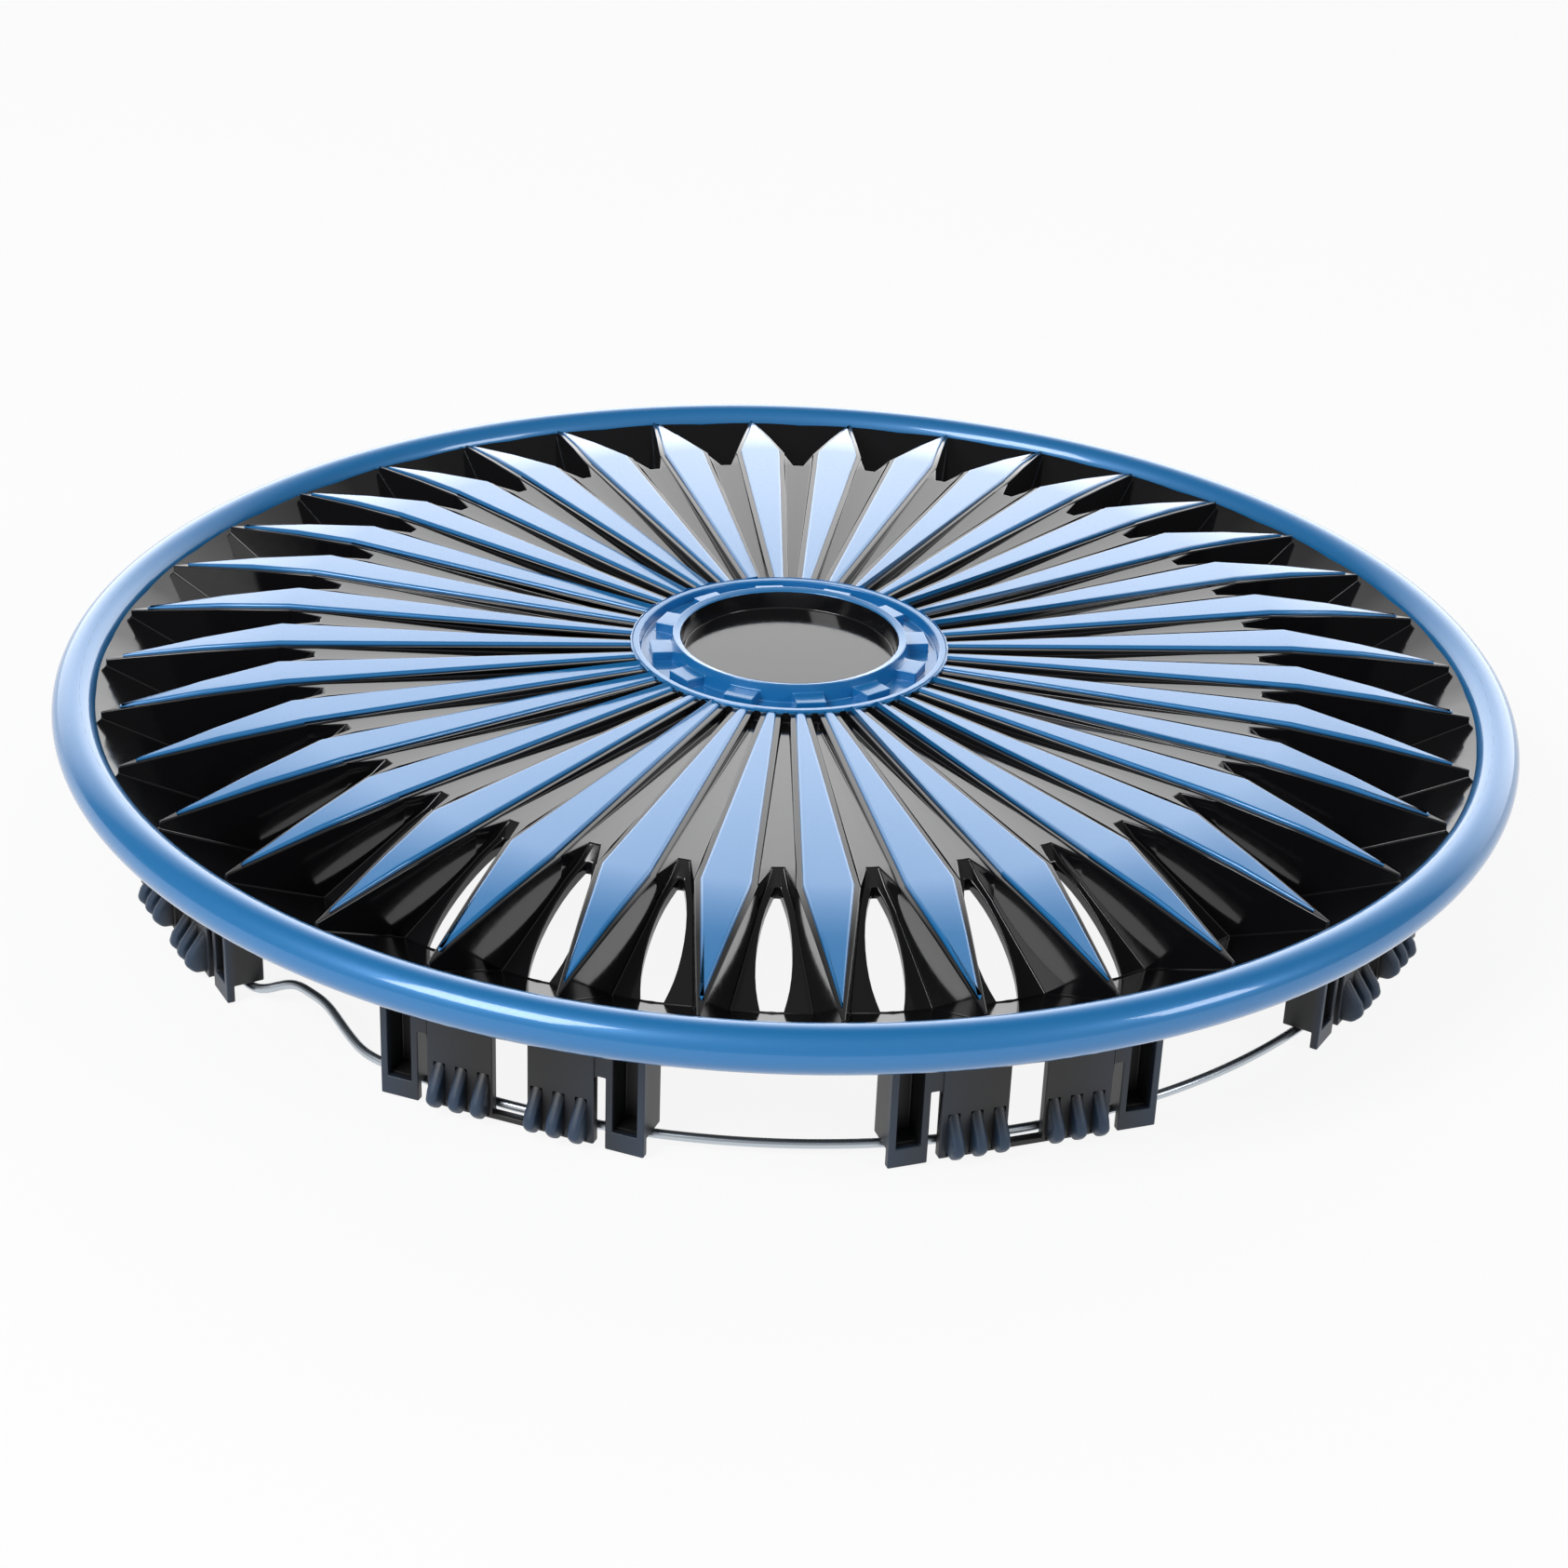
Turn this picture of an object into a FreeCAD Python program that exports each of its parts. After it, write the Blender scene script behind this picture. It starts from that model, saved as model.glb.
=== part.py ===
"""Clip-on wheel cover for a 14-inch steel wheel, with its spring wire.

The cover is one moulding and the wire ring is a second piece held by its clips.
Z is the wheel's axle, the show face looks up and the clip feet stand on Z = 0.
One spoke lies on +Y, and the clip stations hang under valleys half a pitch away.
"""

import math
import os

import FreeCAD
import Part
import Sketcher
from FreeCAD import Placement, Rotation, Vector

doc = FreeCAD.newDocument("wheel_cover")

# Driving dimensions, in millimetres unless the name says count or angle.
SIZES = {
    "coverRadius": 194.0,
    "beadTube": 5.7,
    "tipHeight": 45.0,
    "wallThick": 2.3,
    "spokeCount": 36,
    "hubRadius": 42.6,
    "hubRise": 5.2,
    "collarRadius": 31.4,
    "collarRise": 7.4,
    "discRise": 2.0,
    "floorInnerRise": 1.8,
    "floorOuterRise": 5.8,
    "padHubHalf": 1.25,
    "padShoulderHalf": 6.0,
    "padRise": 1.0,
    "padShoulderRise": 7.05,
    "ledgeWidth": 1.45,
    "ventHalf": 4.2,
    "ventEndHalf": 2.65,
    "ventApexRise": 2.1,
    "ventEndDrop": 14.5,
    "lugCount": 12,
    "lugWide": 8.0,
    "lugDeep": 6.0,
    "stationCount": 9,
    "fingerGap": 4.4,
    "fingerWide": 16.6,
    "fingerThick": 2.4,
    "ribReach": 5.2,
    "ribWide": 3.0,
    "slotWide": 2.6,
    "boxWide": 9.6,
    "boxDeep": 9.5,
    "wireRadius": 168.5,
    "wireThick": 2.3,
    "wireHeight": 2.8,
    "kinkDepth": 6.9,
    "kinkHalfAngle": 6.2,
    "kinkTilt": 35.5,
    "kinkAzimuth": 144.2,
}

sheet = doc.addObject("Spreadsheet::Sheet", "Sizes")
for line, (alias, number) in enumerate(SIZES.items(), start=1):
    sheet.set(f"A{line}", alias)
    sheet.set(f"B{line}", str(number))
    sheet.setAlias(f"B{line}", alias)
doc.recompute()


class Size:
    """A length that holds its number and the sheet expression it comes from."""

    def __init__(self, value, text):
        self.value, self.text = value, text

    def __add__(self, other):
        other = as_size(other)
        return Size(self.value + other.value, f"({self.text} + {other.text})")

    def __sub__(self, other):
        other = as_size(other)
        return Size(self.value - other.value, f"({self.text} - {other.text})")

    def __mul__(self, other):
        other = as_size(other)
        return Size(self.value * other.value, f"({self.text} * {other.text})")

    def __truediv__(self, other):
        other = as_size(other)
        return Size(self.value / other.value, f"({self.text} / {other.text})")

    def __neg__(self):
        return self * -1

    __radd__ = __add__
    __rmul__ = __mul__

    def __rsub__(self, other):
        return as_size(other) - self


def as_size(x):
    return x if isinstance(x, Size) else Size(float(x), f"({x})")


def cell(alias):
    return Size(float(SIZES[alias]), f"Sizes.{alias}")


def bind(thing, prop, size):
    """Sets a property and ties it to the sheet."""
    thing.setExpression(prop, as_size(size).text)


def new_body(name, in_pieces=False):
    made = doc.addObject("PartDesign::Body", name)
    made.AllowCompound = in_pieces
    return made


def new_sketch(owner, name, plane):
    made = owner.newObject("Sketcher::SketchObject", name)
    role = f"{plane}_Plane"
    made.AttachmentSupport = [(next(f for f in owner.Origin.OriginFeatures if f.Role == role), "")]
    made.MapMode = "FlatFace"
    return made


def pin(sketch, geo, point, x, y):
    """Holds one point of a sketch at x, y, both tied to the sheet."""
    for kind, place, axis in (("DistanceX", x, -2), ("DistanceY", y, -1)):
        place = as_size(place)
        if abs(place.value) < 1e-9:
            sketch.addConstraint(Sketcher.Constraint("PointOnObject", geo, point, axis))
            continue
        number = sketch.addConstraint(Sketcher.Constraint(kind, -1, 1, geo, point, place.value))
        bind(sketch, f"Constraints[{number}]", place)


def polygon(sketch, points):
    """A closed outline of straight lines through (x, y) sizes."""
    spots = [Vector(as_size(x).value, as_size(y).value, 0) for x, y in points]
    first = sketch.GeometryCount
    for a, b in zip(spots, spots[1:] + spots[:1]):
        sketch.addGeometry(Part.LineSegment(a, b), False)
    for i in range(len(points)):
        after = first + (i + 1) % len(points)
        sketch.addConstraint(Sketcher.Constraint("Coincident", first + i, 2, after, 1))
    for i, (x, y) in enumerate(points):
        pin(sketch, first + i, 1, x, y)


def rectangle(sketch, x0, x1, y0, y1):
    polygon(sketch, [(x0, y0), (x1, y0), (x1, y1), (x0, y1)])


def feature(owner, kind, name, sketch, **sizes):
    made = owner.newObject(f"PartDesign::{kind}", name)
    made.Profile = sketch
    for prop, size in sizes.items():
        bind(made, prop, size)
    sketch.Visibility = False
    return made


def axle(owner):
    return next(f for f in owner.Origin.OriginFeatures if f.Role == "Z_Axis"), [""]


def turn(owner, kind, name, sketch, angle=None):
    """A revolution or groove about the axle: full, or a slice either side of +Y."""
    made = feature(owner, kind, name, sketch)
    made.ReferenceAxis = (sketch, ["V_Axis"])
    made.Angle = 360
    if angle is not None:
        made.Midplane = True
        bind(made, "Angle", angle)
    finish(owner, made)
    return made


def across(owner, kind, name, sketch, width):
    """A pad or pocket of a side view, the same amount to either side of it."""
    made = feature(owner, kind, name, sketch, Length=width)
    made.Midplane = True
    finish(owner, made)
    return made


def rise(owner, name, sketch, start, end):
    """A pad of a plan sketch between two heights."""
    bind(sketch, "AttachmentOffset.Base.z", start)
    made = feature(owner, "Pad", name, sketch, Length=as_size(end) - start)
    finish(owner, made)
    return made


def finish(owner, made):
    made.Refine = False
    owner.Tip = made
    doc.recompute()


def around(owner, name, count, spacing=None):
    """Repeats the whole body round the axle, evenly or at a given angle."""
    made = owner.newObject("PartDesign::PolarPattern", name)
    made.TransformMode = "Whole shape"
    made.Axis = axle(owner)
    made.Angle = 360
    if spacing is not None:
        made.Mode = "Spacing"
        bind(made, "Offset", spacing)
    bind(made, "Occurrences", count)
    finish(owner, made)
    return made


# Radii that follow the cover's size, found from the face in the photograph.
cover_r = cell("coverRadius")
tip_z = cell("tipHeight")
wall = cell("wallThick")
bead = cell("beadTube")
bead_r = cover_r - bead
bead_z = tip_z - 4.1
notch_r = cover_r * 0.6475
shoulder_r = cover_r * 0.6985
vent_apex_r = cover_r * 0.6675
vent_mid_r = cover_r * 0.737
vent_end_r = cover_r * 0.8093
pad_tip_r = cover_r * 0.9124
crease_r = cover_r - 11
hub_r = cell("hubRadius")
collar_r = cell("collarRadius")
half_pitch = Size(180 / SIZES["spokeCount"], "(180 / Sizes.spokeCount)")

lip_z = tip_z + cell("hubRise")
disc_z = tip_z + cell("discRise")
floor_in_z = tip_z + cell("floorInnerRise")
floor_out_z = tip_z + cell("floorOuterRise")
shoulder_z = tip_z + cell("padShoulderRise")
vent_apex_z = tip_z + cell("ventApexRise")
vent_end_z = tip_z - cell("ventEndDrop")
crease_z = tip_z - 1.9

# One pitch of the face, with its spoke on +Y and a half valley on either side.
pitch = new_body("SpokePitch")
skin = new_sketch(pitch, "SkinSection", "YZ")
underside = [
    (crease_r + 0.8, crease_z - wall - 0.1),
    (vent_end_r, vent_end_z - wall - 0.2),
    (vent_apex_r - 1.5, vent_apex_z - wall - 0.1),
    (notch_r - 1.2, floor_out_z - wall),
    (hub_r - 2, floor_in_z - wall),
]
polygon(skin, [
    (hub_r - 2, lip_z - 0.2),
    (hub_r, lip_z - 0.2),
    (hub_r, floor_in_z),
    (notch_r, floor_out_z),
    (vent_apex_r, vent_apex_z),
    (vent_end_r, vent_end_z),
    (crease_r + 0.8, crease_z - 0.1),
] + underside)
across(pitch, "Pad", "Skin", skin, crease_r * 0.2)


def level(name, plan, top_line):
    """Raises a plan outline and planes it off along a line seen from the side."""
    outline = new_sketch(pitch, f"{name}Plan", "XY")
    polygon(outline, plan + [(-x, y) for x, y in reversed(plan)])
    rise(pitch, name, outline, vent_end_z - 8, tip_z + 20)
    above = new_sketch(pitch, f"{name}Above", "YZ")
    polygon(above, top_line + [(top_line[-1][0], tip_z + 30), (top_line[0][0], tip_z + 30)])
    across(pitch, "Pocket", f"{name}Planed", above, crease_r)


mid_r = pad_tip_r - 21
nose_r = crease_r - 1.5
shoulder_half = cell("padShoulderHalf")
hub_half = cell("padHubHalf")
border = cell("ledgeWidth")
pad_rise = cell("padRise")
spread = Size(math.tan(math.pi / SIZES["spokeCount"]), "tan(180 / Sizes.spokeCount)")
notch_half = notch_r * spread - 1.4

# The spoke's body, as wide as the valley floor where the notch legs start.
level("SpokeBody", [
    (notch_half, notch_r), (shoulder_half + border * 0.9, shoulder_r)], [
    (notch_r, floor_out_z), (shoulder_r + 2, shoulder_z - 1.25)])

# The ledge that borders the pad, then the painted pad itself.
level("Ledge", [
    (hub_half + border, hub_r), (shoulder_half + border, shoulder_r), (0.4, nose_r)], [
    (hub_r, lip_z - pad_rise), (shoulder_r, shoulder_z - pad_rise),
    (mid_r, tip_z + 3.2), (cover_r, tip_z - 3.2)])
level("Pad", [
    (hub_half, hub_r), (shoulder_half, shoulder_r), (0.15, pad_tip_r)], [
    (hub_r, lip_z - 0.4), (shoulder_r, shoulder_z), (mid_r, tip_z + 4.2), (cover_r, tip_z - 3.0)])

# Everything under the skin is taken off again, then the spoke is hollowed from behind.
below = new_sketch(pitch, "BelowSkin", "YZ")
polygon(below, underside + [
    (0 * hub_r, floor_in_z - wall), (0 * hub_r, 0 * tip_z), (crease_r + 0.8, 0 * tip_z)])
across(pitch, "Pocket", "BackTrim", below, crease_r)
hollow = new_sketch(pitch, "HollowPlan", "XY")
inner = shoulder_half + border - wall
hollow_plan = [(inner, shoulder_r - 3), (1.2, crease_r - 21)]
polygon(hollow, hollow_plan + [(-x, y) for x, y in reversed(hollow_plan)])
bind(hollow, "AttachmentOffset.Base.z", tip_z * 0.3)
dig = feature(pitch, "Pocket", "Hollow", hollow, Length=tip_z * 0.7 - 0.4)
dig.Reversed = True
finish(pitch, dig)

# A lens-shaped vent in the middle of each valley, then the pitch is cut to its wedge.
vent_plan = [(0.7, vent_apex_r), (cell("ventHalf"), vent_mid_r), (cell("ventEndHalf"), vent_end_r)]
for side in (1, -1):
    vent = new_sketch(pitch, f"VentPlan{side}", "XY")
    vent.AttachmentOffset = Placement(Vector(), Rotation(Vector(0, 0, 1), 1))
    bind(vent, "AttachmentOffset.Rotation.Angle", half_pitch * side)
    polygon(vent, vent_plan + [(-x, y) for x, y in reversed(vent_plan)])
    across(pitch, "Pocket", f"Vent{side}", vent, tip_z * 4)
wedge = new_sketch(pitch, "WedgePlan", "XY")
for side in (1, -1):
    polygon(wedge, [
        (hub_r * 0.5 * spread * side, hub_r * 0.5), (cover_r * 1.2 * spread * side, cover_r * 1.2),
        (cover_r * 0.5 * side, cover_r * 1.2), (cover_r * 0.5 * side, hub_r * 0.5)])
trim = across(pitch, "Pocket", "Wedge", wedge, tip_z * 4)
trim.Refine = True
doc.recompute()
around(pitch, "SpokeBatch", cell("spokeCount") / 6, half_pitch * 2)
around(pitch, "Spokes", 6)

# The hub: a plain disc in a collar, a channel round it and the lip the pads start from.
hub = new_body("HubRing")
hub_sketch = new_sketch(hub, "HubSection", "YZ")
polygon(hub_sketch, [
    (0 * hub_r, disc_z),
    (collar_r - 3.0, disc_z),
    (collar_r - 2.0, tip_z + cell("collarRise") - 0.5),
    (collar_r, tip_z + cell("collarRise")),
    (collar_r + 0.8, disc_z + 0.4),
    (hub_r - 2.7, disc_z + 0.4),
    (hub_r - 2.3, lip_z - 0.1),
    (hub_r - 0.4, lip_z),
    (hub_r - 0.4, floor_in_z - wall + 0.3),
    (0 * hub_r, floor_in_z - wall + 0.3),
])
turn(hub, "Revolution", "Hub", hub_sketch)

# Square lugs stand in the channel, against the collar.
lugs = new_body("LugRow", in_pieces=True)
lug_sketch = new_sketch(lugs, "LugPlan", "XY")
lug_sketch.AttachmentOffset = Placement(Vector(), Rotation(Vector(0, 0, 1), 1))
bind(lug_sketch, "AttachmentOffset.Rotation.Angle", half_pitch * 3)
rectangle(lug_sketch, -cell("lugWide") / 2, cell("lugWide") / 2, collar_r - 0.8, collar_r + cell("lugDeep"))
rise(lugs, "Lug", lug_sketch, disc_z - 0.5, lip_z - 0.2)
around(lugs, "Lugs", cell("lugCount"))

# The roll round the edge, open behind like the rest of the moulding.
edge = new_body("EdgeRoll")
roll = new_sketch(edge, "BeadSection", "YZ")
steps = [(bead, math.radians(angle)) for angle in range(216, -73, -36)]
steps += [(bead * 0.6, math.radians(angle)) for angle in (-72, 72, 216)]
polygon(roll, [(bead_r + tube * math.cos(a), bead_z + tube * math.sin(a)) for tube, a in steps])
turn(edge, "Revolution", "Bead", roll)

# One clip station: a pair of ribbed fingers between two boxes that steady the wire.
station = new_body("ClipStations", in_pieces=True)
wire = cell("wireThick")
wire_r = cell("wireRadius")
wire_z = cell("wireHeight")
above_wire = wire_z + wire / 2 + 0.35
seat_y = wire_r + wire / 2 + 0.35
face_y = seat_y + cell("fingerThick")
web = cell("fingerThick") * 0.75
finger_in = cell("fingerGap")
finger_out = finger_in + cell("fingerWide")
box_in = finger_out + cell("slotWide")
box_out = box_in + cell("boxWide")
box_y = face_y - 0.4
box_back = box_y - cell("boxDeep")
high = tip_z - 7


def station_block(name, outline, start, end):
    plan = new_sketch(station, f"{name}Plan", "XY")
    plan.AttachmentOffset = Placement(Vector(), Rotation(Vector(0, 0, 1), 1))
    bind(plan, "AttachmentOffset.Rotation.Angle", half_pitch)
    polygon(plan, outline)
    return rise(station, name, plan, as_size(start), as_size(end))


def box(x0, x1, y0, y1):
    return [(x0, y0), (x1, y0), (x1, y1), (x0, y1)]


station_block("Finger", box(finger_in, finger_out, seat_y, face_y), 0.8, high)
station_block("Hook", box(finger_in + 5, finger_out - 5, wire_r - 2.3, face_y - 0.4), 0.2 * web, 1.3)
station_block("Link", box(0, finger_in + 0.4, seat_y, face_y), 0.8, wire_z + 2.8)
station_block("Web", box(finger_out - 0.4, box_in + 0.4, box_y - 2, box_y), tip_z * 0.42, high)
station_block("Box", [
    (box_in, box_back), (box_out, box_back), (box_out, box_y), (box_out - web, box_y),
    (box_out - web, box_back + 2), (box_in + web, box_back + 2), (box_in + web, box_y),
    (box_in, box_y)], above_wire, high)
station_block("Bar", box(box_in, box_out, seat_y, box_y), 0 * web, wire_z + 2.2)

# Rounded ribs on the fingers swell outward at the foot and bite in the wheel's rim.
rib_half = cell("ribWide") / 2
reach = cell("ribReach")
for number in range(3):
    at = finger_in + cell("fingerWide") * (0.14 + 0.335 * number)
    rib = new_sketch(station, f"RibSide{number}", "YZ")
    rib.AttachmentOffset = Placement(Vector(), Rotation(Vector(0, 1, 0), 1))
    bind(rib, "AttachmentOffset.Rotation.Angle", half_pitch)
    bind(rib, "AttachmentOffset.Base.x", Size(0, f"{at.text} * sin({half_pitch.text})"))
    bind(rib, "AttachmentOffset.Base.z", Size(0, f"{at.text} * cos({half_pitch.text})"))
    polygon(rib, [
        (seat_y + 1, wire_z + 11.5), (face_y + reach * 0.8, wire_z + 4.2),
        (face_y + reach, wire_z + 1.4), (face_y + reach * 0.55, wire_z - 1.2), (seat_y + 1, wire_z - 1.6)])
    across(station, "Pad", f"Rib{number}", rib, rib_half * 2)

# The other half of the station, the top planed to the cone, and all the stations.
mirror = station.newObject("PartDesign::Mirrored", "StationPair")
mirror.TransformMode = "Whole shape"
mirror.MirrorPlane = (station.getObject("LinkPlan"), ["V_Axis"])
finish(station, mirror)
around(station, "Stations", cell("stationCount"))
cone_slope = (crease_z - vent_end_z) / (crease_r - vent_end_r)
over = new_sketch(station, "OverCone", "YZ")
low_r, high_r = vent_end_r - 6, crease_r + 4
polygon(over, [
    (low_r, vent_end_z - 0.9 - cone_slope * 6), (high_r, crease_z - 0.9 + cone_slope * 4),
    (high_r, tip_z + 20), (low_r, tip_z + 20)])
turn(station, "Groove", "StationTops", over)

cover = doc.addObject("Part::MultiFuse", "WheelCover")
cover.Shapes = [pitch, hub, lugs, edge, station]
cover.Refine = True
doc.recompute()

# The spring wire: a ring with one bend that leaves room for the tyre valve.
ring = new_body("RetentionRing")
kink_half = cell("kinkHalfAngle")
bind(ring, "Placement.Rotation.Angle", cell("kinkAzimuth"))
bind(ring, "Placement.Rotation.Axis.z", Size(1, "1"))
bend_half = wire_r * Size(math.sin(math.radians(kink_half.value)), f"sin({kink_half.text})")
bend_y = wire_r * Size(math.cos(math.radians(kink_half.value)), f"cos({kink_half.text})")

# Six flats stand for the wire's round section.
corners = [math.radians(60 * i) for i in range(6)]
flats = [(wire / 2 * math.cos(a), wire / 2 * math.sin(a)) for a in corners]
round_bar = new_sketch(ring, "WireSection", "YZ")
polygon(round_bar, [(u - wire_r, wire_z + v) for u, v in flats])
turn(ring, "Revolution", "RingArc", round_bar, 360 - kink_half * 2)
route = new_sketch(ring, "BendRoute", "XY")
route.AttachmentOffset = Placement(Vector(), Rotation(Vector(1, 0, 0), 1))
bind(route, "AttachmentOffset.Rotation.Angle", 180 - cell("kinkTilt"))
bind(route, "AttachmentOffset.Base.y", bend_y)
bind(route, "AttachmentOffset.Base.z", wire_z)
depth = cell("kinkDepth")
stops = [
    (bend_half, 0 * depth), (bend_half, depth),
    (bend_half * 0.05, depth), (-bend_half - wire * 0.4, -depth * 0.05)]
spots = [Vector(as_size(x).value, as_size(y).value, 0) for x, y in stops]
for a, b in zip(spots, spots[1:]):
    route.addGeometry(Part.LineSegment(a, b), False)
for i in (0, 1):
    route.addConstraint(Sketcher.Constraint("Coincident", i, 2, i + 1, 1))
for i, (x, y) in enumerate(stops):
    pin(route, min(i, 2), 1 if i < 3 else 2, x, y)
start = new_sketch(ring, "BendSection", "XY")
start.AttachmentOffset = Placement(Vector(), Rotation(Vector(1, 0, 0), 1))
bind(start, "AttachmentOffset.Rotation.Angle", 90 - cell("kinkTilt"))
bind(start, "AttachmentOffset.Base.x", bend_half)
bind(start, "AttachmentOffset.Base.y", bend_y)
bind(start, "AttachmentOffset.Base.z", wire_z)
polygon(start, flats)
doc.recompute()
bend = ring.newObject("PartDesign::AdditivePipe", "ValveBend")
bend.Profile = start
bend.Spine = route
bend.Transition = "Right corner"
finish(ring, bend)
doc.recompute()
os.makedirs("parts", exist_ok=True)
for thing in doc.Objects:
    assert not {"Invalid", "Error"} & set(thing.State), thing.Name
for node, made in (("wheel_cover", cover), ("retention_ring", ring)):
    shape = made.Shape
    assert shape.isValid() and len(shape.Solids) == 1, node
    shape.Solids[0].exportStep(f"parts/{node}.step")
    extent = shape.optimalBoundingBox()
    print(node, f"{extent.XLength:.1f} x {extent.YLength:.1f} x {extent.ZLength:.1f} mm")
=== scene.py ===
# %% [markdown]
# # A clip-on wheel cover
# This lesson dresses the solids of a blue and black wheel cover. The cover is one moulding, so its
# shape comes from a copy of the solid, and the paint decides which faces become which piece. The edge
# roll and the spring wire are round, so they are modelled anew with smooth sections.

# %% Load the solids
import math

import bpy
from mathutils import Matrix, Vector


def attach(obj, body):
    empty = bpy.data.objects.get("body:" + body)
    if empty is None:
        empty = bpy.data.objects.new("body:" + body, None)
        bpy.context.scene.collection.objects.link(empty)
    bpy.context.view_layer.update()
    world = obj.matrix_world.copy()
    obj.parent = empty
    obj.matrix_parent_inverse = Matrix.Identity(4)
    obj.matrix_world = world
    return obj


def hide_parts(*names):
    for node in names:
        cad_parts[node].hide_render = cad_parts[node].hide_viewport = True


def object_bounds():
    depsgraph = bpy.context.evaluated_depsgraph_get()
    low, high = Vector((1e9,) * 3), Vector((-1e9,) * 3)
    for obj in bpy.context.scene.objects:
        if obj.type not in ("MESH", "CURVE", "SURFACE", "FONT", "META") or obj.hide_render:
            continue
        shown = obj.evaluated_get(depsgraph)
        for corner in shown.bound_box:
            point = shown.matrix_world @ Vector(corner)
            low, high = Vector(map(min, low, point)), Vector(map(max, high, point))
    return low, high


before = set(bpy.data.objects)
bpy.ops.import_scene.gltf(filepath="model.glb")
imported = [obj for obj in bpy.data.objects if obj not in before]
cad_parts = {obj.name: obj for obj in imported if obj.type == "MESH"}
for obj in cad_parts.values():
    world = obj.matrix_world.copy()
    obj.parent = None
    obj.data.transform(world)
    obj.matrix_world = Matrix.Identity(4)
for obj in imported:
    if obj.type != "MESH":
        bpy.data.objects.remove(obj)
cad_low, cad_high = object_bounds()
MM = 0.001
RIM_R = cad_high.x
ROLL_R = 5.7 * MM
TIP_Z = 45 * MM
SPOKES = 36
print("solids:", sorted(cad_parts), "rim radius", round(RIM_R / MM, 1), "mm")

# %% [markdown]
# Most steps act on one object, and on faces picked by where they are. These helpers do that. A face is
# picked by a test on its middle and its normal, which is what a hand does with box select. The cover
# repeats round its axis, so a point is often turned into its own sector first. Rounding an edge is a
# bevel, and weighted normals then keep the large faces flat in the light.

# %% Helpers for picking
def only(obj):
    """Makes obj the only selected object."""
    bpy.ops.object.select_all(action="DESELECT")
    obj.select_set(True)
    bpy.context.view_layer.objects.active = obj


def pick_faces(obj, wanted):
    """Opens obj in edit mode with the faces selected that pass the test."""
    only(obj)
    bpy.ops.object.mode_set(mode="EDIT")
    bpy.ops.mesh.select_mode(type="FACE")
    bpy.ops.mesh.select_all(action="DESELECT")
    bpy.ops.object.mode_set(mode="OBJECT")
    for face in obj.data.polygons:
        face.select = wanted(face.center, face.normal)
    bpy.ops.object.mode_set(mode="EDIT")


def own_sector(c, count, first):
    """(across, outward) of a point in its own one of count equal sectors, from the angle first."""
    pitch = 2 * math.pi / count
    turned = math.atan2(c.y, c.x) - first
    turned -= round(turned / pitch) * pitch
    r = math.hypot(c.x, c.y)
    return r * math.sin(turned), r * math.cos(turned)


def split_off(obj, name, wanted):
    """Makes the picked faces an object of their own."""
    pick_faces(obj, wanted)
    bpy.ops.mesh.separate(type="SELECTED")
    bpy.ops.object.mode_set(mode="OBJECT")
    piece = next(o for o in bpy.context.selected_objects if o != obj)
    piece.name = piece.data.name = name
    print(name, len(piece.data.polygons), "faces")
    return piece


def flatten(obj):
    """Lets the large faces set the normals, so that a bevel doesn't shade them."""
    flats = obj.modifiers.new("Flat faces", "WEIGHTED_NORMAL")
    flats.keep_sharp = True
    bpy.ops.object.modifier_apply(modifier=flats.name)


def pick_sharp_edges(obj, angle):
    """Opens obj in edit mode with the edges selected that are sharper than the angle."""
    only(obj)
    bpy.ops.object.mode_set(mode="EDIT")
    bpy.ops.mesh.select_mode(type="EDGE")
    bpy.ops.mesh.select_all(action="DESELECT")
    bpy.ops.mesh.edges_select_sharp(sharpness=math.radians(angle))


def soften(obj, width, segments, angle):
    """Rounds the sharp edges and keeps the flats flat."""
    only(obj)
    rounding = obj.modifiers.new("Rounded edges", "BEVEL")
    rounding.width = width
    rounding.segments = segments
    rounding.limit_method = "ANGLE"
    rounding.angle_limit = math.radians(angle)
    rounding.use_clamp_overlap = False
    bpy.ops.object.modifier_apply(modifier=rounding.name)
    bpy.ops.object.shade_smooth_by_angle(angle=math.radians(40))
    flatten(obj)
    print(obj.name, "softened to", len(obj.data.polygons), "faces")


# %% [markdown]
# The solid arrives as loose triangles. A copy is merged, and outside the hub the flat triangles are
# dissolved into the faces a designer drew, so that a bevel finds only the true edges. The hub keeps its
# triangles, because a ring with a hole can't be one face.

# %% Copy the moulding
only(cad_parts["wheel_cover"])
bpy.ops.object.duplicate()
face = bpy.context.active_object
for key in list(face.keys()):
    del face[key]
face.name = face.data.name = "black_face"
bpy.ops.mesh.customdata_custom_splitnormals_clear()
bpy.ops.object.mode_set(mode="EDIT")
bpy.ops.mesh.select_all(action="SELECT")
bpy.ops.mesh.remove_doubles(threshold=1e-6)
bpy.ops.object.mode_set(mode="OBJECT")
face.data.materials.clear()
HUB_R = 42.6 * MM
pick_faces(face, lambda c, n: math.hypot(c.x, c.y) > HUB_R + 0.3 * MM)
bpy.ops.mesh.dissolve_limited(angle_limit=math.radians(0.3))
bpy.ops.object.mode_set(mode="OBJECT")
print("moulding:", len(face.data.polygons), "faces")

# %% [markdown]
# The roll round the rim is a tube with an open back. On the solid it has flat facets, so those faces
# go, and a torus takes their place: its back is deleted and a wall thickness is added inwards.

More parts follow.
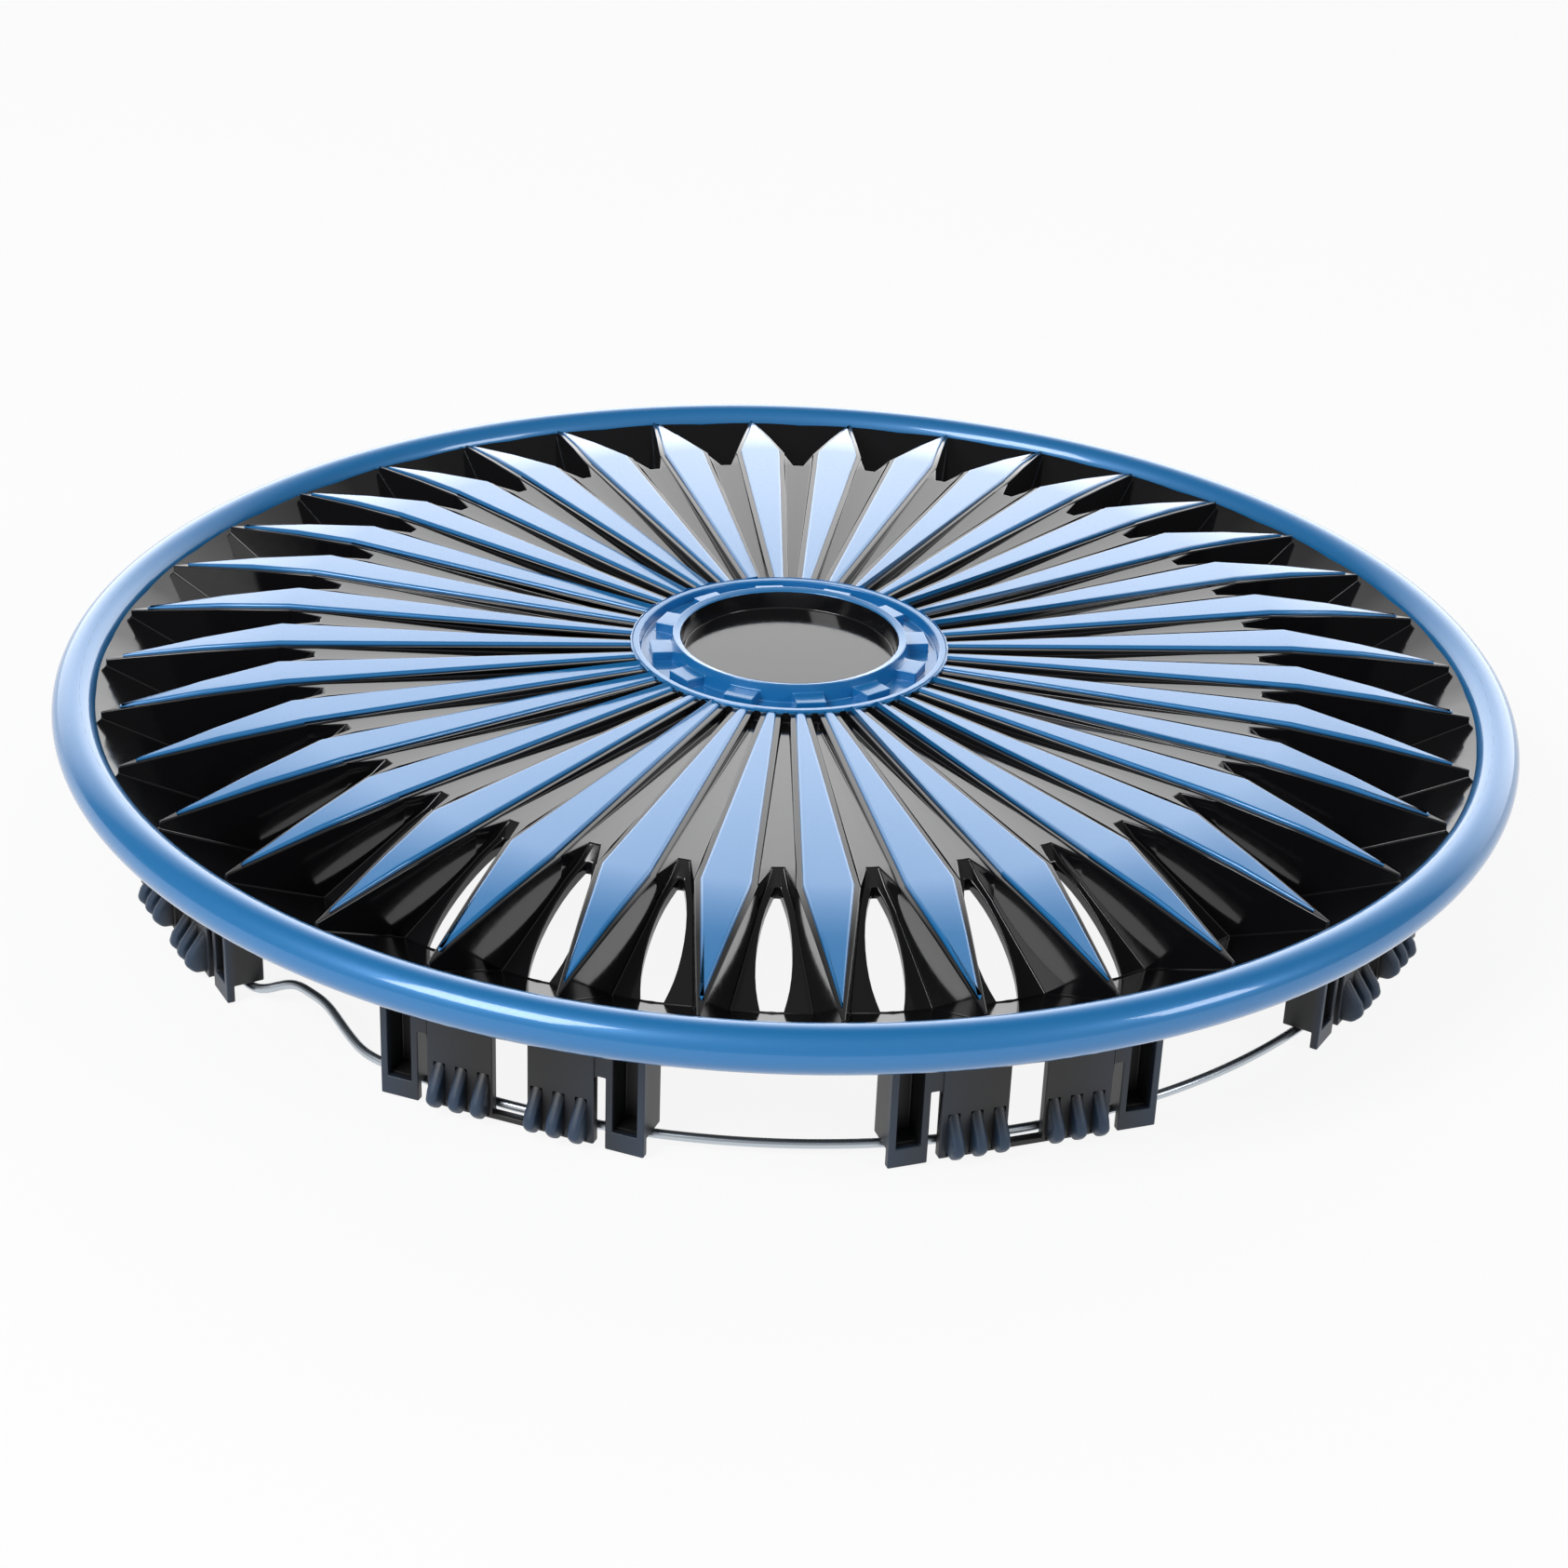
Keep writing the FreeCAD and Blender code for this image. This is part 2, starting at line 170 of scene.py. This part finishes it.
# %% Model the edge roll
ROLL_CENTRE = RIM_R - ROLL_R
ROLL_Z = TIP_Z - 4.1 * MM
ROLL_WALL = 2.2 * MM
OPEN_FROM, OPEN_TO = 216, 288
pick_faces(face, lambda c, n: math.hypot(c.x, c.y) > ROLL_CENTRE - 5.8 * MM)
bpy.ops.mesh.delete(type="FACE")
bpy.ops.object.mode_set(mode="OBJECT")

bpy.ops.mesh.primitive_torus_add(
    major_radius=ROLL_CENTRE, minor_radius=ROLL_R, major_segments=216, minor_segments=40,
    location=(0, 0, ROLL_Z))
roll = bpy.context.active_object
roll.name = roll.data.name = "edge_roll"
bpy.ops.object.transform_apply(location=True, rotation=True, scale=True)


def roll_back(c, n):
    """True at the back of the tube, which a moulding leaves open."""
    out, up = math.hypot(c.x, c.y) - ROLL_CENTRE, c.z - ROLL_Z
    turned = math.degrees(math.atan2(up, out)) % 360
    return OPEN_FROM < turned < OPEN_TO


pick_faces(roll, roll_back)
bpy.ops.mesh.delete(type="FACE")
bpy.ops.object.mode_set(mode="OBJECT")
wall = roll.modifiers.new("Wall", "SOLIDIFY")
wall.thickness = ROLL_WALL
wall.offset = -1
bpy.ops.object.modifier_apply(modifier=wall.name)
bpy.ops.object.shade_smooth_by_angle(angle=math.radians(50))
print("edge roll:", len(roll.data.polygons), "faces")

# %% [markdown]
# Each vent is a lens with round sides. On the solid each side has one corner, which is an upright edge.
# The corners move a little apart, because a bevel takes width away, and a wide bevel gives the curve.

# %% Round the vents
VENT_MID_R, VENT_HALF = RIM_R * 0.737, 4.2 * MM
VENT_WIDEN, VENT_ROUND = 2.1 * MM, 12 * MM


def beside_valley(c):
    """How far a point is across from the middle of its valley."""
    return own_sector(c, SPOKES, math.pi / 2 + math.pi / SPOKES)[0]


def is_vent_corner(a, b):
    middle = (a + b) / 2
    upright = math.hypot(a.x - b.x, a.y - b.y) < 0.05 * MM
    near = abs(math.hypot(middle.x, middle.y) - VENT_MID_R) < 1.5 * MM
    return upright and near and abs(abs(beside_valley(middle)) - VENT_HALF) < 0.4 * MM


only(face)
bpy.ops.object.mode_set(mode="EDIT")
bpy.ops.mesh.select_mode(type="EDGE")
bpy.ops.mesh.select_all(action="DESELECT")
bpy.ops.object.mode_set(mode="OBJECT")
points = face.data.vertices
for edge in face.data.edges:
    edge.select = is_vent_corner(*(points[i].co for i in edge.vertices))
corners = {i for edge in face.data.edges if edge.select for i in edge.vertices}
for i in corners:
    sideways = Vector((0, 0, 1)).cross(points[i].co).normalized()
    points[i].co += sideways * math.copysign(VENT_WIDEN, beside_valley(points[i].co))
print("vent corners:", len(corners) // 2)
bpy.ops.object.mode_set(mode="EDIT")
bpy.ops.mesh.bevel(offset=VENT_ROUND, segments=8, affect="EDGES", clamp_overlap=False)
bpy.ops.object.mode_set(mode="OBJECT")

# %% [markdown]
# Behind the rim stand the clips. Their ribs are half round, so they become a piece of their own, and all
# their sharp edges get a bevel nearly as wide as half a rib. The bar that links two fingers is low enough
# to show the wire over it.

# %% Shape the clips
STATIONS, FIRST_STATION = 9, math.radians(95)
FINGER_FACE, RIB_TOP, RIB_ROUND = 172.4 * MM, 15 * MM, 1.15 * MM
LINK_END, LINK_TOP, LINK_SEEN_TOP = 4.4 * MM, 5.6 * MM, 2.2 * MM


def at_station(c):
    """(across, outward) of a point on its own clip station."""
    return own_sector(c, STATIONS, FIRST_STATION)


def on_rib(c, n):
    return c.z < RIB_TOP and at_station(c)[1] > FINGER_FACE + 0.2 * MM


for point in face.data.vertices:
    across, out = at_station(point.co)
    if abs(abs(across) - LINK_END) < 0.1 * MM and abs(point.co.z - LINK_TOP) < 0.1 * MM:
        point.co.z = LINK_SEEN_TOP
ribs = split_off(face, "clip_ribs", on_rib)
pick_sharp_edges(ribs, 20)
bpy.ops.mesh.bevel(offset=RIB_ROUND, segments=4, affect="EDGES", clamp_overlap=True)
bpy.ops.object.mode_set(mode="OBJECT")
bpy.ops.object.shade_smooth_by_angle(angle=math.radians(60))
print("ribs rounded to", len(ribs.data.polygons), "faces")

# %% [markdown]
# The boxes beside the fingers have a floor just over the wire. A small plate goes on both sides of every
# station, and all of them are joined into one piece with rounded edges.

# %% Model the box floors
BOX_MIDDLE, BOX_OUT, FLOOR_Z = 28.4 * MM, 167.2 * MM, 4.85 * MM
PLATE = Vector((6.0 * MM, 5.4 * MM, 1.0 * MM))
plates = []
for station in range(STATIONS):
    for side in (-1, 1):
        turn = Matrix.Rotation(FIRST_STATION - math.pi / 2 + 2 * math.pi * station / STATIONS, 4, "Z")
        bpy.ops.mesh.primitive_cube_add(size=1)
        plate = bpy.context.active_object
        plate.matrix_world = turn @ Matrix.LocRotScale(
            Vector((side * BOX_MIDDLE, BOX_OUT, FLOOR_Z)), None, PLATE)
        plates.append(plate)
bpy.ops.object.select_all(action="DESELECT")
for plate in plates:
    plate.select_set(True)
bpy.context.view_layer.objects.active = plates[0]
bpy.ops.object.transform_apply(location=True, rotation=True, scale=True)
bpy.ops.object.join()
floors = bpy.context.active_object
floors.name = floors.data.name = "clip_floors"
soften(floors, 0.2 * MM, 2, 30)

# %% [markdown]
# The paint covers the long pads on the spokes, and the ring round the hub. A face belongs to a pad if
# it lies inside the lozenge seen from above, and stands higher than the ledge round it. Every spoke is
# folded onto the one on +Y first, so one test does for all of them.

# %% Find the painted faces
SHOULDER_R, PAD_TIP_R = RIM_R * 0.6985, RIM_R * 0.9124
HUB_HALF, SHOULDER_HALF = 1.25 * MM, 6 * MM
MID_R = PAD_TIP_R - 21 * MM
LEDGE_TOP = [(HUB_R, TIP_Z + 4.2 * MM), (SHOULDER_R, TIP_Z + 6.05 * MM),
             (MID_R, TIP_Z + 3.2 * MM), (RIM_R, TIP_Z - 3.2 * MM)]


def along(line, r):
    """Height of a line of (radius, height) points at a radius."""
    for (r0, z0), (r1, z1) in zip(line, line[1:]):
        if r <= r1:
            return z0 + (z1 - z0) * (r - r0) / (r1 - r0)
    return line[-1][1]


def on_pad(c, n):
    across, r = own_sector(c, SPOKES, math.pi / 2)
    if not HUB_R < r < PAD_TIP_R + 0.5 * MM:
        return False
    inner = HUB_HALF + (SHOULDER_HALF - HUB_HALF) * (r - HUB_R) / (SHOULDER_R - HUB_R)
    outer = SHOULDER_HALF * (PAD_TIP_R - r) / (PAD_TIP_R - SHOULDER_R)
    return abs(across) < min(inner, outer) + 0.25 * MM and c.z > along(LEDGE_TOP, r) + 0.12 * MM


COLLAR_IN, DISC_Z = 29.4 * MM, TIP_Z + 2 * MM


def on_hub_ring(c, n):
    r = math.hypot(c.x, c.y)
    return COLLAR_IN - 0.1 * MM < r < HUB_R + 0.1 * MM and c.z > DISC_Z - 0.3 * MM and n.z > -0.3


CLIP_IN, CONE_Z = 158 * MM, TIP_Z - 14.5 * MM


def on_clip(c, n):
    r = math.hypot(c.x, c.y)
    under = CONE_Z - 3 * MM + (r - RIM_R * 0.8093) * 0.466
    return r > CLIP_IN and c.z < under and abs(n.z) < 0.8 or c.z < CONE_Z - 6 * MM


# %% [markdown]
# The pads are full and soft at their sides, so they leave the moulding first and get a broad bevel along
# their top edges. The upright edge at each tip stays sharp. The rest gets a narrow bevel and is split.

# %% Round the pads
PAD_ROUND = 0.8 * MM
pads = split_off(face, "painted_pads", on_pad)
pick_sharp_edges(pads, 30)
bpy.ops.object.mode_set(mode="OBJECT")
points = pads.data.vertices
for edge in pads.data.edges:
    a, b = (points[i].co for i in edge.vertices)
    if (a - b).xy.length < 0.3 * MM:
        edge.select = False
print("pad edges:", sum(edge.select for edge in pads.data.edges))
bpy.ops.object.mode_set(mode="EDIT")
bpy.ops.mesh.bevel(offset=PAD_ROUND, segments=4, affect="EDGES", clamp_overlap=False)
bpy.ops.object.mode_set(mode="OBJECT")
bpy.ops.object.shade_smooth_by_angle(angle=math.radians(50))
flatten(pads)

# %% Split the moulding by finish
soften(face, 0.34 * MM, 3, 24)
hub = split_off(face, "hub_ring", on_hub_ring)
clips = split_off(face, "clip_stations", on_clip)

# %% [markdown]
# The wire is bent from one length of round bar. A circle gives its route, the points near the valve
# are moved along the bend and smoothed, and a bevel on the curve gives the round section.

# %% Model the spring wire
WIRE_R, WIRE_Z, WIRE_HALF = 168.5 * MM, 2.8 * MM, 1.15 * MM
BEND_AT, BEND_HALF = math.radians(234.2), math.radians(6.2)
BEND_DEPTH, BEND_TILT = 6.9 * MM, math.radians(35.5)
bpy.ops.mesh.primitive_circle_add(vertices=720, radius=WIRE_R, location=(0, 0, WIRE_Z))
wire = bpy.context.active_object
wire.name = wire.data.name = "spring_wire"
bpy.ops.object.transform_apply(location=True, rotation=True, scale=True)
BEND_ROUTE = [(-1.12, 0), (-1.0, 0.12), (-0.93, 0.8), (-0.8, 1.0), (-0.1, 1.0), (0.05, 0.93),
              (0.85, 0.14), (1.0, 0.03), (1.12, 0)]


def bend_depth(t):
    """How far the wire leaves its circle, at t half-widths from the bend's middle."""
    for (t0, d0), (t1, d1) in zip(BEND_ROUTE, BEND_ROUTE[1:]):
        if t0 <= t <= t1:
            return BEND_DEPTH * (d0 + (d1 - d0) * (t - t0) / (t1 - t0))
    return 0.0


for point in wire.data.vertices:
    turned = math.atan2(point.co.y, point.co.x) - BEND_AT
    turned = (turned + math.pi) % (2 * math.pi) - math.pi
    depth = bend_depth(turned / BEND_HALF)
    inward = Vector((point.co.x, point.co.y, 0)).normalized() * -depth * math.cos(BEND_TILT)
    point.co += inward + Vector((0, 0, depth * math.sin(BEND_TILT)))
only(wire)
bpy.ops.object.mode_set(mode="EDIT")
bpy.ops.mesh.select_all(action="SELECT")
bpy.ops.mesh.vertices_smooth(factor=0.5, repeat=8)
bpy.ops.object.mode_set(mode="OBJECT")
bpy.ops.object.convert(target="CURVE")
wire.data.bevel_depth = WIRE_HALF
wire.data.bevel_resolution = 3
bpy.ops.object.convert(target="MESH")
bpy.ops.object.shade_smooth()
print("spring wire:", len(wire.data.polygons), "faces")

# %% [markdown]
# Four finishes. The blue is a metallic paint under a clear coat: a part-metal base with fine flakes in
# its roughness, and a coat on top. The face is polished black plastic with a slightly uneven gloss. The
# clips are the same plastic left matt, with a blue mist of overspray on the ribs. The wire is zinc-plated
# steel.

# %% Helpers for finishes
def new_finish(name, colour, roughness, metallic=0.0):
    made = bpy.data.materials.new(name)
    made.use_nodes = True
    shader = made.node_tree.nodes["Principled BSDF"]
    shader.inputs["Base Color"].default_value = (*colour, 1)
    shader.inputs["Roughness"].default_value = roughness
    shader.inputs["Metallic"].default_value = metallic
    return made, shader


def grain(made, scale, low, high):
    """A fine noise on the object's own coordinates, spread between two values."""
    nodes, links = made.node_tree.nodes, made.node_tree.links
    place = nodes.new("ShaderNodeTexCoord")
    noise = nodes.new("ShaderNodeTexNoise")
    noise.inputs["Scale"].default_value = scale
    noise.inputs["Detail"].default_value = 2
    spread = nodes.new("ShaderNodeMapRange")
    spread.inputs["From Min"].default_value = 0.25
    spread.inputs["From Max"].default_value = 0.75
    spread.inputs["To Min"].default_value = low
    spread.inputs["To Max"].default_value = high
    links.new(place.outputs["Object"], noise.inputs["Vector"])
    links.new(noise.outputs["Fac"], spread.inputs["Value"])
    return spread.outputs["Result"]


# %% Blue metallic paint
paint, shader = new_finish("blue_paint", (0.008, 0.19, 0.49), 0.36, 0.2)
shader.inputs["Coat Weight"].default_value = 1.0
shader.inputs["Coat Roughness"].default_value = 0.08
paint.node_tree.links.new(grain(paint, 2600, 0.30, 0.46), shader.inputs["Roughness"])
for piece in (pads, hub, roll):
    piece.data.materials.clear()
    piece.data.materials.append(paint)

# %% Polished black plastic
black, shader = new_finish("black_plastic", (0.006, 0.006, 0.007), 0.16)
shader.inputs["Specular IOR Level"].default_value = 0.65
black.node_tree.links.new(grain(black, 420, 0.08, 0.13), shader.inputs["Roughness"])
face.data.materials.append(black)

# %% Matt clips with overspray
BARE, MISTED = (0.012, 0.012, 0.013), (0.035, 0.07, 0.13)
MIST_FROM_R, MIST_FULL_R = 172.6 * MM, 176.5 * MM
matt, shader = new_finish("matt_clips", BARE, 0.42)
nodes, links = matt.node_tree.nodes, matt.node_tree.links
place = nodes.new("ShaderNodeTexCoord")
split = nodes.new("ShaderNodeSeparateXYZ")
flat = nodes.new("ShaderNodeCombineXYZ")
reach = nodes.new("ShaderNodeVectorMath")
reach.operation = "LENGTH"
mist = nodes.new("ShaderNodeMapRange")
mist.inputs["From Min"].default_value = MIST_FROM_R
mist.inputs["From Max"].default_value = MIST_FULL_R
mist.inputs["To Max"].default_value = 0.75
blue = nodes.new("ShaderNodeMix")
blue.data_type = "RGBA"
blue.inputs["A"].default_value = (*BARE, 1)
blue.inputs["B"].default_value = (*MISTED, 1)
links.new(place.outputs["Object"], split.inputs["Vector"])
links.new(split.outputs["X"], flat.inputs["X"])
links.new(split.outputs["Y"], flat.inputs["Y"])
links.new(flat.outputs["Vector"], reach.inputs[0])
links.new(reach.outputs["Value"], mist.inputs["Value"])
links.new(mist.outputs["Result"], blue.inputs["Factor"])
links.new(blue.outputs["Result"], shader.inputs["Base Color"])
for piece in (clips, ribs, floors):
    piece.data.materials.clear()
    piece.data.materials.append(matt)

# %% Plated steel
steel, shader = new_finish("plated_steel", (0.52, 0.57, 0.62), 0.28, 1.0)
wire.data.materials.append(steel)

# %% [markdown]
# Each piece now rides on the root body, and the solid it stands for is hidden from view and render.

# %% Hand the pieces to the frame
for piece in (face, pads, hub, clips, ribs, floors, roll):
    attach(piece, "root")
    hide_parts("wheel_cover")
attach(wire, "root")
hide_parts("retention_ring")

# %% [markdown]
# The photograph was taken a little above the face, from the side where the valve bend shows. The
# camera was solved from the rings and the spoke tips, and is written here as a distance, a height
# angle, a lean and a small turn away from the middle.

# %% Camera
UNIT = 177 * MM
SIDE, HEIGHT, LEAN = math.radians(5.21), math.radians(25.187), math.radians(2.345)
DISTANCE, SHIFT_X, SHIFT_Y = 4.6678, 0.00055, -0.19103
FOCAL_PX, FRAME_PX = 3293.65, 1685
eye = Vector((0, -math.cos(HEIGHT), math.sin(HEIGHT))) * DISTANCE
ahead = -eye.normalized()
right = Vector((1, 0, 0))
up = right.cross(ahead)
ahead = (-eye + SHIFT_X * right + SHIFT_Y * up).normalized()
right = ahead.cross(up).normalized()
up = right.cross(ahead)
right, up = (math.cos(LEAN) * right + math.sin(LEAN) * up, math.cos(LEAN) * up - math.sin(LEAN) * right)
pose = Matrix((right, up, -ahead)).transposed().to_4x4()
pose.translation = eye * UNIT + Vector((0, 0, TIP_Z))
bpy.ops.object.camera_add()
camera = bpy.context.active_object
camera.matrix_world = Matrix.Rotation(SIDE, 4, "Z") @ pose
camera.data.sensor_width = 36
camera.data.lens = 36 * FOCAL_PX / FRAME_PX
camera.data.clip_start = 0.01
bpy.context.scene.camera = camera
print("camera at", [round(x, 3) for x in camera.location], "lens", round(camera.data.lens, 1))

# %% [markdown]
# The cover stands on a plain pale floor, wide enough to fill the picture. The camera and every mirror
# image see it as white, and a small share of its own shading keeps the shadow.

# %% Floor
FLOOR_SIZE, FLOOR_GAP, WHITE_SHARE = 120, 0.5 * MM, 0.9
bpy.ops.mesh.primitive_plane_add(size=FLOOR_SIZE, location=(0, 0, cad_low.z - FLOOR_GAP))
floor = bpy.context.active_object
floor.name = "floor"
ground, shader = new_finish("pale_floor", (0.86, 0.86, 0.86), 0.9)
nodes, links = ground.node_tree.nodes, ground.node_tree.links
glow = nodes.new("ShaderNodeEmission")
blend = nodes.new("ShaderNodeMixShader")
rays = nodes.new("ShaderNodeLightPath")
part = nodes.new("ShaderNodeMath")
part.operation = "MULTIPLY"
part.inputs[1].default_value = WHITE_SHARE
white_to = rays.outputs["Is Camera Ray"]
for kind in ("Is Glossy Ray", "Is Transmission Ray"):
    either = nodes.new("ShaderNodeMath")
    either.operation = "MAXIMUM"
    links.new(white_to, either.inputs[0])
    links.new(rays.outputs[kind], either.inputs[1])
    white_to = either.outputs["Value"]
links.new(white_to, part.inputs[0])
links.new(part.outputs["Value"], blend.inputs["Fac"])
links.new(shader.outputs["BSDF"], blend.inputs[1])
links.new(glow.outputs["Emission"], blend.inputs[2])
links.new(blend.outputs["Shader"], nodes["Material Output"].inputs["Surface"])
floor.data.materials.append(ground)

# %% [markdown]
# Black plastic shows what it mirrors, so the light of the room matters more than the lamps. It has a
# bright low wall at the back, which gives the disc and the clear coat their sheen, and is dark above it.

# %% Room light
scene = bpy.context.scene
scene.view_settings.view_transform = "Standard"
world = bpy.data.worlds.new("white_room")
scene.world = world
world.use_nodes = True
nodes, links = world.node_tree.nodes, world.node_tree.links
sky = nodes["Background"]
place = nodes.new("ShaderNodeTexCoord")
split = nodes.new("ShaderNodeSeparateXYZ")
links.new(place.outputs["Generated"], split.inputs["Vector"])


def ramp(axis, start, end, low, high):
    """A value that runs from low to high along one axis of the room."""
    made = nodes.new("ShaderNodeMapRange")
    for name, value in zip(("From Min", "From Max", "To Min", "To Max"), (start, end, low, high)):
        made.inputs[name].default_value = value
    links.new(split.outputs[axis], made.inputs["Value"])
    return made.outputs["Result"]


wall = nodes.new("ShaderNodeMath")
wall.operation = "MULTIPLY"
links.new(ramp("Z", 0.38, 0.88, 2.6, 0.0), wall.inputs[0])
links.new(ramp("Y", 0.4, 0.85, 0.0, 1.0), wall.inputs[1])
room = nodes.new("ShaderNodeMath")
links.new(wall.outputs["Value"], room.inputs[0])
links.new(ramp("Y", -0.5, 0.3, 0.4, 0.1), room.inputs[1])
links.new(room.outputs["Value"], sky.inputs["Strength"])
sky.inputs["Color"].default_value = (1, 1, 1, 1)


def lamp(name, place, size, watts):
    """A square lamp that faces the cover."""
    bpy.ops.object.light_add(type="AREA", location=place)
    made = bpy.context.active_object
    made.name = name
    made.data.size = size
    made.data.energy = watts
    made.rotation_euler = (Vector((0, 0, TIP_Z)) - Vector(place)).to_track_quat("-Z", "Y").to_euler()
    return made


lamp("front_lamp", (-1.0, -1.2, 1.4), 0.9, 26)
lamp("side_lamp", (1.5, -0.6, 0.9), 0.5, 6)
